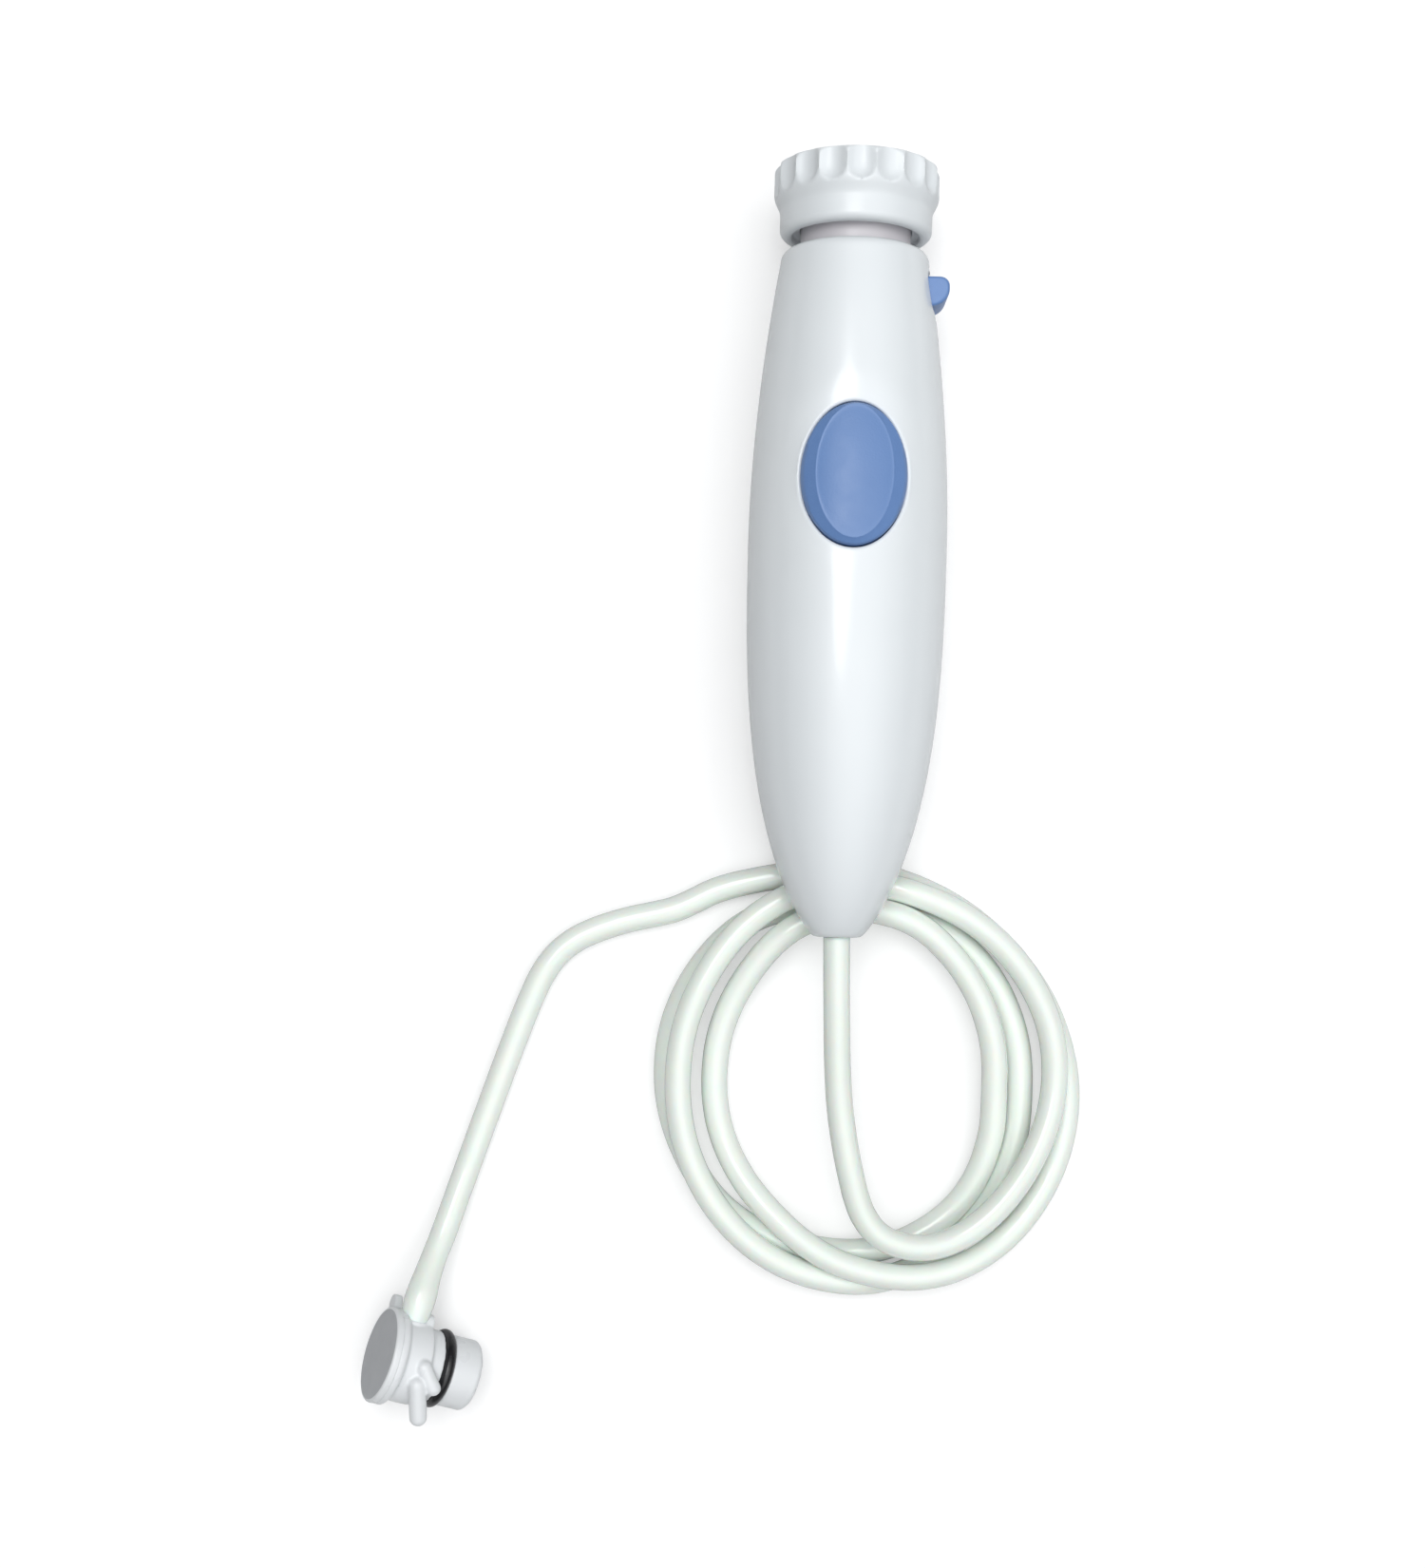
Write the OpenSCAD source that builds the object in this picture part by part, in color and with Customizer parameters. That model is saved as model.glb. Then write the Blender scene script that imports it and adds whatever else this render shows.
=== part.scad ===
// Handle of an oral irrigator, with its supply hose and the connector for the base unit.
// The handle lies on the table (z = 0) along Y, with its collar towards +Y and its button up.

/* [Handle] */
// Length of the handle over its collar
handle_len = 137; // [136:0.5:138]
// Largest radius of the handle, which is also the height of its axis above the table
belly_r = 17.7; // [17.5:0.1:18]
// Radius of the handle just under the collar
mouth_r = 12.9; // [12.7:0.1:13.2]
// Wall thickness of the two shells
wall = 1.8; // [1.6:0.1:2]

/* [Collar] */
// Radius over the fluted band
collar_r = 14.7; // [14.5:0.1:15]
// Height of the collar
collar_h = 12.6; // [12.4:0.1:12.8]
// Number of finger flutes
flute_count = 18; // [12:1:20]
// Radius of the neck seen under the collar
neck_r = 9.8; // [9.6:0.1:10]
// Radius of the bore that takes the jet tip
tip_bore_r = 3.5; // [3.4:0.05:3.6]

/* [Buttons] */
// Width of the pause button
pause_w = 18.4; // [18:0.2:19]
// Length of the pause button
pause_l = 24.6; // [24:0.2:25]
// Travel of the pause button
pause_travel = 2.5; // [2:0.1:2.5]
// Travel of the eject button
eject_travel = 2; // [1.6:0.1:2]

/* [Hose] */
// Outer diameter of the hose
hose_d = 4.8; // [4.6:0.1:4.8]
// Inner diameter of the hose
hose_bore_d = 2.6; // [2.4:0.1:2.6]
// Outer radius of the coil on the table
coil_r = 39.8; // [39:0.1:40.5]
// Inner radius of the coil
coil_hole_r = 23.5; // [22:0.5:24]

/* [Connector] */
// Radius of the connector's plug
plug_r = 6.45; // [6.3:0.05:6.6]
// Radius of the connector's end disc
disc_r = 8.7; // [8.6:0.05:8.8]

/* [Hidden] */
$fn = 64;

running_gap = 0.08;   // radial clearance of what turns or slides in a bore
free_gap = 0.3;       // gap round what passes an opening

// Stations along the handle
axis_z = belly_r;
y_top = handle_len / 2;
y_tail = -handle_len / 2;
y_collar = y_top - collar_h;
neck_show = 2.5;
y_mouth = y_collar - neck_show;
y_belly = 2;
lip = 1.8;            // thickness of the shell's rim round the neck
tail_plug = 4.5;      // solid stretch at the tail, round the hose
hose_r = hose_d / 2;
hose_bore_r = hose_bore_d / 2;

// Outline of the handle: a flattened power curve to each side of the belly
mouth_power = 1.84;
tail_reach = 73.6;
tail_power = 2.8;
tail_round = 0.645;
edge_r = 2;

function body_r(y) = y > y_belly
    ? belly_r - (belly_r - mouth_r) * pow((y - y_belly) / (y_mouth - y_belly), mouth_power)
    : belly_r * pow(1 - pow((y_belly - y) / tail_reach, tail_power), tail_round);

function steps(from, to, count) = [for (i = [0 : count]) from + (to - from) * i / count];

function body_outline(grow) = concat(
    [[0, y_tail - grow], [body_r(y_tail) - 1 + grow, y_tail - grow]],
    [for (y = steps(y_tail + 0.8, y_belly, 20)) [body_r(y) + grow, y]],
    [for (y = steps(y_belly + 5, y_mouth - edge_r, 9)) [body_r(y) + grow, y]],
    [for (a = [30 : 30 : 90])
        [body_r(y_mouth - edge_r) - edge_r + (edge_r + grow) * cos(a),
         y_mouth - edge_r + (edge_r + grow) * sin(a)]],
    [[0, y_mouth + grow]]
);

function cavity_outline() = concat(
    [[0, y_tail + tail_plug]],
    [for (y = steps(y_tail + tail_plug, y_belly, 18)) [body_r(y) - wall, y]],
    [for (y = steps(y_belly + 5, y_mouth - lip, 9)) [body_r(y) - wall, y]],
    [[0, y_mouth - lip]]
);

function oval(half_w, half_l) =
    [for (i = [0 : 47]) [half_w * cos(i * 7.5), half_l * sin(i * 7.5)]];

// Local Z becomes the handle's axis, towards the collar; local X points down
module along_handle(y = 0)
    translate([0, y, axis_z]) rotate([-90, 0, 0]) rotate(90) children();

module rod(y0, y1, r) along_handle(y0) cylinder(r = r, h = y1 - y0);

module tube_piece(y0, y1, outer_r, inner_r) along_handle(y0) difference() {
    cylinder(r = outer_r, h = y1 - y0);
    translate([0, 0, -1]) cylinder(r = inner_r, h = y1 - y0 + 2);
}

module block(x0, x1, y0, y1, z0, z1)
    translate([x0, y0, axis_z + z0]) cube([x1 - x0, y1 - y0, z1 - z0]);

module post(x, y, z0, z1, r)
    translate([x, y, axis_z + z0]) cylinder(r = r, h = z1 - z0);

// Swept tubes: one ring of points at each point of the route
function unit(v) = v / norm(v);
function heading(route, i) = unit(
    (i < len(route) - 1 ? unit(route[i + 1] - route[i]) : [0, 0, 0]) +
    (i > 0 ? unit(route[i] - route[i - 1]) : [0, 0, 0]));
function ring_at(p, t, r, sides) =
    let (s = unit(cross(t, [0, 0, 1])), u = cross(s, t))
    [for (k = [0 : sides - 1]) p + r * (cos(360 * k / sides) * s + sin(360 * k / sides) * u)];

module swept(route, r, sides) {
    last = len(route) - 1;
    points = [for (i = [0 : last]) each ring_at(route[i], heading(route, i), r, sides)];
    skin = [for (i = [0 : last - 1], k = [0 : sides - 1])
        let (a = i * sides + k, b = i * sides + (k + 1) % sides)
        each [[a, b, b + sides], [a, b + sides, a + sides]]];
    near_cap = [for (k = [sides - 1 : -1 : 0]) k];
    far_cap = [for (k = [0 : sides - 1]) last * sides + k];
    polyhedron(points = points, faces = concat([near_cap], skin, [far_cap]));
}

module coil_spring(r, wire_r, length, turns) {
    per_turn = 14;
    rise = length - 2 * wire_r;
    count = turns * per_turn;
    swept([for (i = [0 : count])
        [r * cos(360 * i / per_turn), r * sin(360 * i / per_turn), wire_r + rise * i / count]],
        wire_r, 6);
}

// Shells ------------------------------------------------------------------

pause_y = 11.2;
pause_gap = 0.35;
pause_skirt = 1.4;
pause_flange = 1.2;
pause_flange_z = 10.1;     // underside of the flange, above the axis
pause_roof_z = 15;         // ceiling inside the button

eject_y0 = 43;
eject_y1 = 49.3;
eject_half_h = 4.4;
eject_reach = 16.7;
eject_heel_r = 2.6;        // rounding towards the tail
eject_toe_r = 1.1;         // rounding towards the collar
latch_y = 46.4;
latch_t = 1.6;

rib_t = 1.6;
valve_y0 = pause_y - 14;
valve_y1 = pause_y + 14;
seat_r = 6;
spigot_r = 3.4;
stretched_r = 3.1;         // hose radius over the valve's barb
rib_y = [-38, valve_y0 - rib_t, valve_y1, 34, latch_y - 2, latch_y + 1];
rib_hole = [hose_r + free_gap, stretched_r + free_gap, spigot_r + free_gap, seat_r, seat_r + free_gap, 5];
rib_depth = [rib_t, rib_t, rib_t, rib_t, 1, 1];

pin_r = 1.2;
pin_boss_r = 2.4;
pin_depth = 5;
pin_y = [33, -20, -46];

function pin_x(y) = body_r(y) - wall - pin_boss_r + 0.7;

module at_pins() for (y = pin_y, side = [-1, 1]) translate([side * pin_x(y), y, axis_z]) children();

module ribs() difference() {
    for (i = [0 : len(rib_y) - 1])
        tube_piece(rib_y[i], rib_y[i] + rib_depth[i], belly_r, rib_hole[i]);
    block(6.5, 20, eject_y0 - free_gap, eject_y1 + free_gap, -7, 7);
    block(-20, -8, latch_y - 2.5, latch_y + 2.5, -3, 3);
}

module hollow() difference() {
    along_handle() rotate_extrude() polygon(cavity_outline());
    ribs();
    at_pins() translate([0, 0, -9]) cylinder(r = pin_boss_r, h = 18);
}

module shells() difference() {
    along_handle() rotate_extrude() polygon(body_outline(0));
    hollow();
    rod(y_mouth - lip - 1, y_mouth + 1, neck_r + running_gap);
    rod(y_tail - 1, y_tail + tail_plug + 1, hose_r);
    block(8, 20, eject_y0 - free_gap, eject_y1 + free_gap,
          -eject_half_h - free_gap, eject_half_h + free_gap);
}

module upper_half() block(-30, 30, y_tail - 5, y_top, 0, 30);
module lower_half() block(-30, 30, y_tail - 5, y_top, -30, 0);

// Top half of the casing, with the oval opening and the six joining pins
module front_shell() color([0.90, 0.92, 0.94]) {
    difference() {
        intersection() {
            shells();
            upper_half();
        }
        translate([0, pause_y, axis_z + pause_flange_z]) linear_extrude(20)
            polygon(oval(pause_w / 2 + pause_gap, pause_l / 2 + pause_gap));
    }
    at_pins() translate([0, 0, -pin_depth]) cylinder(r = pin_r, h = pin_depth + 2);
}

// Bottom half of the casing, with the sockets for the pins
module rear_shell() color([0.88, 0.90, 0.92]) difference() {
    intersection() {
        shells();
        lower_half();
    }
    at_pins() translate([0, 0, -pin_depth - 0.5]) cylinder(r = pin_r + 0.02, h = pin_depth + 2);
}

// Rotating collar and tip socket --------------------------------------------

collar_wall_r = 13.55;     // smooth band under the flutes
collar_recess_r = 11;
collar_step_y = y_collar + 4.3;
flute_r = 3.2;
flute_depth = 0.8;
flute_end_y = y_collar + 6.5;
socket_stem_r = 8;
collar_floor_y = y_top - 2;
socket_flange_r = 10.8;
socket_y0 = 50;

// Fluted finger ring that turns the jet tip
module collar_ring() color([0.90, 0.92, 0.94]) difference() {
    along_handle() rotate_extrude() polygon([
        [socket_stem_r, y_collar + neck_show],
        [collar_recess_r, y_collar + neck_show],
        [collar_recess_r, y_collar + 0.5],
        [collar_recess_r + 0.4, y_collar],
        [collar_wall_r - 1.5, y_collar],
        [collar_wall_r - 0.4, y_collar + 0.7],
        [collar_wall_r, y_collar + 1.8],
        [collar_wall_r, collar_step_y],
        [collar_r, collar_step_y + 1.6],
        [collar_r, y_top - 1.3],
        [collar_r - 0.4, y_top - 0.4],
        [collar_r - 1.2, y_top],
        [collar_recess_r + 0.5, y_top],
        [collar_recess_r, y_top - 0.5],
        [collar_recess_r, collar_floor_y],
        [socket_stem_r, collar_floor_y],
    ]);
    along_handle() for (i = [0 : flute_count - 1]) rotate(360 * i / flute_count)
        translate([collar_r + flute_r - flute_depth, 0, flute_end_y + 2]) {
            cylinder(r = flute_r, h = collar_h);
            sphere(r = flute_r);
        }
}

// Barrel that turns in the shells' rim and takes the jet tip
module tip_socket() color([0.75, 0.75, 0.77]) along_handle() rotate_extrude() polygon([
    [tip_bore_r, socket_y0],
    [socket_flange_r, socket_y0],
    [socket_flange_r, y_mouth - lip - 0.15],
    [neck_r, y_mouth - lip - 0.15],
    [neck_r, y_collar + neck_show],
    [socket_stem_r, y_collar + neck_show],
    [socket_stem_r, collar_floor_y + 0.9],
    [tip_bore_r + 1.2, collar_floor_y + 0.9],
    [tip_bore_r, collar_floor_y - 0.3],
]);

// Pause valve ----------------------------------------------------------------

valve_bore_r = 3.5;
land_r = valve_bore_r - running_gap;
stem_r = 1.5;
waist_r = 1.6;
port_r = 1.2;
tower_r = 5.6;
tower_z = 7;
cap_t = 1.4;
cap_spigot = 1.6;
valve_floor_z = -6;
oring_r = 0.42;
oring_ring_r = land_r - oring_r;
upper_oring_z = 2.9;
lower_oring_z = -2.3;
barb_y0 = valve_y0 - 12;
barb_r = 2;
spigot_end_y = valve_y1 + 11.5;
seat_groove_y = 33;
seat_oring_r = 0.4;

module oring(ring_r, section_r) rotate_extrude() translate([ring_r, 0]) circle(r = section_r, $fn = 24);

// Body of the pause valve: inlet barb, cross bore and outlet spigot
module valve_body() color([0.82, 0.82, 0.80]) difference() {
    union() {
        rod(valve_y0, valve_y1, 4.6);
        post(0, pause_y, -7.5, tower_z, tower_r);
        rod(barb_y0, valve_y0, barb_r);
        rod(valve_y1, spigot_end_y, spigot_r);
    }
    post(0, pause_y, valve_floor_z, tower_z + 1, valve_bore_r);
    rod(barb_y0 - 1, spigot_end_y + 1, port_r);
    tube_piece(seat_groove_y - seat_oring_r, seat_groove_y + seat_oring_r,
               spigot_r + 1, spigot_r - 2 * seat_oring_r);
}

// Spool that closes the water way when the button is down
module valve_plunger() color([0.70, 0.72, 0.75]) difference() {
    union() {
        post(0, pause_y, port_r, 4.6, land_r);
        post(0, pause_y, -3.3, -port_r - 0.1, land_r);
        post(0, pause_y, -port_r - 0.2, port_r + 0.1, waist_r);
        post(0, pause_y, 4.5, pause_roof_z, stem_r);
    }
    for (z = [upper_oring_z, lower_oring_z]) translate([0, pause_y, axis_z + z]) difference() {
        cylinder(r = land_r + 1, h = 2 * oring_r, center = true);
        cylinder(r = land_r - 2 * oring_r, h = 2, center = true);
    }
}

module plunger_upper_oring() color([0.12, 0.12, 0.13])
    translate([0, pause_y, axis_z + upper_oring_z]) oring(oring_ring_r, oring_r);

module plunger_lower_oring() color([0.12, 0.12, 0.13])
    translate([0, pause_y, axis_z + lower_oring_z]) oring(oring_ring_r, oring_r);

// Lid that closes the valve's bore and guides the plunger's stem
module valve_cap() color([0.78, 0.80, 0.82]) difference() {
    union() {
        post(0, pause_y, tower_z, tower_z + cap_t, tower_r);
        post(0, pause_y, tower_z - cap_spigot, tower_z, valve_bore_r);
    }
    post(0, pause_y, 0, tower_z + cap_t + 1, stem_r + running_gap);
}

module pause_spring() color([0.75, 0.76, 0.78])
    translate([0, pause_y, axis_z + tower_z + cap_t])
        coil_spring(3.6, 0.3, pause_roof_z - tower_z - cap_t, 5);

pause_crown_r = 18.9;      // radius of the button's face about the handle's axis
pause_arch_r = 90;         // radius of the face along the handle
pause_tilt = 2.8;          // the face follows the taper towards the collar

// Barrel-shaped stock whose skin is the button's face
module pause_crown()
    translate([0, pause_y, axis_z]) rotate([-90 - pause_tilt, 0, 0]) rotate_extrude()
        intersection() {
            translate([pause_crown_r - pause_arch_r, 0]) circle(r = pause_arch_r, $fn = 200);
            translate([0, -20]) square([pause_crown_r + 1, 40]);
        }

// Oval button over the valve, held in the shell by its flange
module pause_button() color([0.48, 0.60, 0.80]) {
    difference() {
        union() {
            intersection() {
                pause_crown();
                translate([0, pause_y, axis_z + pause_flange_z]) linear_extrude(20)
                    polygon(oval(pause_w / 2, pause_l / 2));
            }
            translate([0, pause_y, axis_z + pause_flange_z]) linear_extrude(1.1)
                polygon(oval(pause_w / 2 + pause_flange, pause_l / 2 + pause_flange));
        }
        translate([0, pause_y, axis_z + pause_flange_z - 1])
            linear_extrude(pause_roof_z - pause_flange_z + 1)
                polygon(oval(pause_w / 2 - pause_skirt, pause_l / 2 - pause_skirt));
    }
    translate([0, pause_y, axis_z + 12.5]) difference() {
        cylinder(r = 2.8, h = pause_roof_z - 12.5 + 0.5);
        translate([0, 0, -1]) cylinder(r = stem_r, h = pause_roof_z - 12.5 + 1);
    }
}

// Tip seat and its seals -------------------------------------------------------

seat_y0 = valve_y1 + rib_t + 3.2;
seat_y1 = 44;
seal_y0 = 38.5;
seal_y1 = 42.5;
seal_r = 4.6;
tip_end_r = 2.9;

// Cup that the end of the jet tip stands in
module tip_seat() color([0.80, 0.80, 0.78]) difference() {
    rod(seat_y0, seat_y1, seat_r);
    rod(seat_y0 - 1, spigot_end_y + 0.3, spigot_r + 0.05);
    rod(spigot_end_y, seal_y0 + 1, port_r);
    rod(seal_y0, seat_y1 + 1, seal_r);
}

module seat_oring() color([0.12, 0.12, 0.13])
    along_handle(seat_groove_y) oring(spigot_r + 0.05 - seat_oring_r, seat_oring_r - 0.01);

// Rubber cup that seals on the jet tip
module tip_seal() color([0.20, 0.20, 0.22]) tube_piece(seal_y0, seal_y1, seal_r, tip_end_r);

// Ring that keeps the seal in its cup
module seal_retainer() color([0.80, 0.80, 0.78])
    tube_piece(seal_y1, seat_y1, seal_r, tip_end_r + 0.5);

// Eject latch ------------------------------------------------------------------

latch_half_w = 6;
latch_end_x = -8.5;
latch_bite = 0.5;          // how far the plate's edge reaches into the tip's groove
latch_hole_r = tip_bore_r + 0.4;
latch_slot = 1.2;
latch_hole_x = latch_hole_r - tip_bore_r + latch_bite;

// Side button with its latch plate, which holds the jet tip by a groove
module eject_button() color([0.48, 0.60, 0.80]) {
    translate([0, 0, axis_z - eject_half_h]) linear_extrude(2 * eject_half_h) polygon(concat(
        [[9, eject_y0], [14.2, eject_y0]],
        [for (a = [-60 : 20 : 0])
            [eject_reach - eject_heel_r * (1 - cos(a)), eject_y0 + eject_heel_r * (1 + sin(a))]],
        [for (a = [0 : 30 : 90])
            [eject_reach - eject_toe_r * (1 - cos(a)), eject_y1 - eject_toe_r * (1 - sin(a))]],
        [[9, eject_y1]]
    ));
    difference() {
        union() {
            block(latch_end_x, 9.5, latch_y - latch_t / 2, latch_y + latch_t / 2, -latch_half_w, latch_half_w);
            block(9, 10.3, eject_y0, eject_y1, -5.4, 5.4);
        }
        for (x = [latch_hole_x, latch_hole_x + latch_slot]) translate([x, 0, 0])
            rod(latch_y - 2, latch_y + 2, latch_hole_r);
    }
}

module eject_spring() color([0.75, 0.76, 0.78])
    translate([latch_end_x, latch_y, axis_z]) rotate([0, -90, 0])
        coil_spring(1.7, 0.22, 3.2, 4);

// Hose ---------------------------------------------------------------------------

// Hose inside the handle, stretched over the valve's barb
module inner_hose() color([0.92, 0.94, 0.92]) along_handle() rotate_extrude() polygon([
    [hose_bore_r, y_tail],
    [hose_r, y_tail],
    [hose_r, barb_y0 - 3],
    [stretched_r, barb_y0],
    [stretched_r, valve_y0],
    [barb_r, valve_y0],
    [barb_r, barb_y0],
    [hose_bore_r, barb_y0 - 1.5],
]);

// Ferrule that grips the hose on the barb
module hose_clamp() color([0.75, 0.76, 0.78])
    tube_piece(valve_y0 - 9, valve_y0 - 4, stretched_r + 0.7, stretched_r);

// Ring on the hose that keeps it from being pulled out of the tail
module hose_stop() color([0.80, 0.80, 0.78])
    tube_piece(y_tail + tail_plug, y_tail + tail_plug + 2.5, 4.4, hose_r);

coil_center = [6.8, -95.4, 0];
coil_h = 9.2;
TAIL_ROUTE = [
    [0, -68.5, 17.7], [0.2, -76, 17.4], [0.5, -84, 16.7], [0.9, -92, 15.8], [1.6, -99.5, 14.9],
    [2.8, -106.5, 14.1], [4.3, -112.8, 13.2], [6, -117.9, 12.5], [8.4, -121.4, 12.1], [11.6, -123.5, 11.8],
    [16.2, -124.4, 11.5],
];
LEAD_ROUTE = [
    [-2, -57.3, 2.4], [-11.2, -57.9, 2.4], [-20.4, -60.8, 2.4], [-29, -65, 2.4], [-37.6, -67.2, 2.4],
    [-44, -69.4, 2.4], [-49, -72.3, 2.4], [-52.4, -76.1, 2.4], [-55, -81.3, 2.4], [-58.7, -91.3, 2.4],
    [-62.9, -103.3, 2.4], [-67.2, -116, 3], [-70.2, -125.4, 5.2], [-72.2, -131.2, 7.9],
    [-73.4, -136.2, 10.2], [-74.43, -140.2, 11],
];

module hose_tail() color([0.93, 0.95, 0.93]) swept(TAIL_ROUTE, hose_r, 12);

// Outer shape of the coiled stretch, hollowed where the handle's tail lies over it
module hose_coil() color([0.93, 0.95, 0.93]) difference() {
    translate(coil_center) rotate_extrude() polygon([
        [coil_hole_r + 1, 0], [coil_r - 1, 0], [coil_r, 1.4], [coil_r, 4.6],
        [coil_r - 2.2, 8.4], [coil_r - 4, coil_h], [coil_hole_r + 2, coil_h], [coil_hole_r, 7.4],
        [coil_hole_r, 1.4],
    ]);
    along_handle() rotate_extrude() polygon(body_outline(free_gap));
}

module hose_lead() color([0.93, 0.95, 0.93]) swept(LEAD_ROUTE, hose_r, 12);

// Connector ------------------------------------------------------------------------

// It lies on the rim of its plug, which points down to the table
disc_pos = [-80.35, -146.05, 12.6];
plug_tilt = 22.5;
plug_heading = -17.6;
disc_t = 1.2;
rim_z = 2.8;               // back of the rim that the disc closes
drum_r = 7.6;
drum_z = 7.6;
neck_w = 6.6;              // radius between the drum and the seal
groove_z = 10.35;
plug_z = 12.45;
plug_end = 18;
connector_oring_r = 1.04;
groove_r = plug_r - 1.35;
hose_boss_z = 4.2;
hose_boss_r = 2.6;
hose_boss_reach = 7.9;

// Local Z runs from the disc to the plug, and local Y along the hose's barb
module in_connector() translate(disc_pos) rotate([0, 90 + plug_tilt, plug_heading]) children();

module lug(angle, reach, w, z0, h) rotate(angle) translate([0, 0, z0]) {
    translate([0, -w / 2, 0]) cube([reach - w / 2, w, h]);
    translate([reach - w / 2, 0, 0]) cylinder(r = w / 2, h = h);
}

// Round-ended arm on the drum's side, leaning from the axis by pitch towards the angle turn
module arm(start, turn, pitch, length, r) translate(start) rotate([0, pitch, turn]) {
    sphere(r = r);
    cylinder(r = r, h = length);
    translate([0, 0, length]) sphere(r = r);
}

// Drum with the bayonet lugs, the hose barb and the plug
module connector_body() color([0.90, 0.92, 0.93]) in_connector() difference() {
    union() {
        rotate_extrude() polygon([
            [0, disc_t], [disc_r, disc_t], [disc_r, rim_z - 0.5], [disc_r - 0.4, rim_z],
            [drum_r, rim_z + 0.2], [drum_r, drum_z], [neck_w, drum_z + 0.4], [neck_w, groove_z],
            [groove_r, groove_z], [groove_r, plug_z], [plug_r, plug_z],
            [plug_r, plug_end - 0.7], [plug_r - 0.7, plug_end], [0, plug_end],
        ]);
        translate([0, 0, hose_boss_z]) rotate([-90, 0, 0]) cylinder(r = hose_boss_r, h = hose_boss_reach);
        arm([-7.6, -2, 6.2], 274, 68, 6.1, 1.6);
        arm([-7.3, 1.3, 6.5], 253, 51, 4, 1.4);
        lug(50, 12.2, 3.2, 1.4, 1.6);
        lug(86, 9.1, 4, 5.7, 2.1);
    }
    translate([0, 0, hose_boss_z - 2]) cylinder(r = 2.4, h = plug_end);
    translate([0, 0, hose_boss_z]) rotate([-90, 0, 0]) cylinder(r = port_r, h = 12);
}

// Grey disc that closes the drum
module connector_cap() color([0.78, 0.79, 0.82]) in_connector() rotate_extrude() polygon([
    [0, 0], [disc_r - 0.5, 0], [disc_r, 0.5], [disc_r, disc_t], [0, disc_t],
]);

module connector_oring() color([0.10, 0.10, 0.11]) in_connector()
    translate([0, 0, (groove_z + plug_z) / 2]) oring(groove_r + connector_oring_r + 0.01, connector_oring_r);

front_shell();
rear_shell();
collar_ring();
tip_socket();
pause_button();
pause_spring();
valve_plunger();
plunger_upper_oring();
plunger_lower_oring();
valve_cap();
valve_body();
tip_seat();
seat_oring();
tip_seal();
seal_retainer();
eject_button();
eject_spring();
inner_hose();
hose_clamp();
hose_stop();
hose_tail();
hose_coil();
hose_lead();
connector_body();
connector_cap();
connector_oring();
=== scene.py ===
"""Water flosser handle with its coiled hose and connector: the looks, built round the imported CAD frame."""
import math

import bmesh
import bpy
import numpy as np
from mathutils import Matrix, Vector


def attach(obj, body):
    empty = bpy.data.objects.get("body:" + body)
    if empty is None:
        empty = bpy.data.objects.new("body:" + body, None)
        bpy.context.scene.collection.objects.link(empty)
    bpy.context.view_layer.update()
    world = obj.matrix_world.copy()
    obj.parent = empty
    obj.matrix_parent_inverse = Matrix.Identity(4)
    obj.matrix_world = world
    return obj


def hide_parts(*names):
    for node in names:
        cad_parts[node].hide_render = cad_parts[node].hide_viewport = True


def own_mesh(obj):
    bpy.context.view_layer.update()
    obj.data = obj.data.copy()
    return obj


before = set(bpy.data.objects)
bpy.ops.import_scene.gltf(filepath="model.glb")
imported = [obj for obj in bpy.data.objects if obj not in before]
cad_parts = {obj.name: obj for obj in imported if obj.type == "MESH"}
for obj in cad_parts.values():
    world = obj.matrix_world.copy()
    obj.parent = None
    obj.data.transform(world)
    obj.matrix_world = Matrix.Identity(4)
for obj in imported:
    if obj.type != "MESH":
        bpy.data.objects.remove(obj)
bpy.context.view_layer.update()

MM = 0.001

# ---------------------------------------------------------------- sizes shared with the CAD, in mm
BELLY_R = 17.7
AXIS_Z = BELLY_R
Y_TOP = 68.5
Y_TAIL = -68.5
Y_MOUTH = 53.4
Y_BELLY = 2.0
MOUTH_R = 12.9
NOSE_POWER = 1.84
TAIL_REACH = 73.6
TAIL_POWER = 2.8
TAIL_ROUND = 0.645
HOSE_R = 2.4
COIL_CENTER = (6.8, -95.4)


def body_r(y):
    """Radius of the handle's casing at y, as in the CAD."""
    if y > Y_BELLY:
        return BELLY_R - (BELLY_R - MOUTH_R) * ((y - Y_BELLY) / (Y_MOUTH - Y_BELLY)) ** NOSE_POWER
    return BELLY_R * (1 - ((Y_BELLY - y) / TAIL_REACH) ** TAIL_POWER) ** TAIL_ROUND


# ---------------------------------------------------------------- camera
CAMERA_FOOT = (-22.4, -60.0)
CAMERA_HEIGHT = 430.0
CAMERA_ROLL = 1.55
CAMERA_LENS = 53.07
CAMERA_SHIFT = 0.0651


def add_camera():
    """A camera straight above that looks down, as the photograph does."""
    data = bpy.data.cameras.new("camera")
    data.lens = CAMERA_LENS
    data.sensor_width = 36
    data.shift_y = CAMERA_SHIFT
    data.clip_start = 0.01
    data.clip_end = 20
    camera = bpy.data.objects.new("camera", data)
    camera.location = (CAMERA_FOOT[0] * MM, CAMERA_FOOT[1] * MM, CAMERA_HEIGHT * MM)
    camera.rotation_euler = (0, 0, math.radians(CAMERA_ROLL))
    bpy.context.scene.collection.objects.link(camera)
    bpy.context.scene.camera = camera


add_camera()

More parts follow.
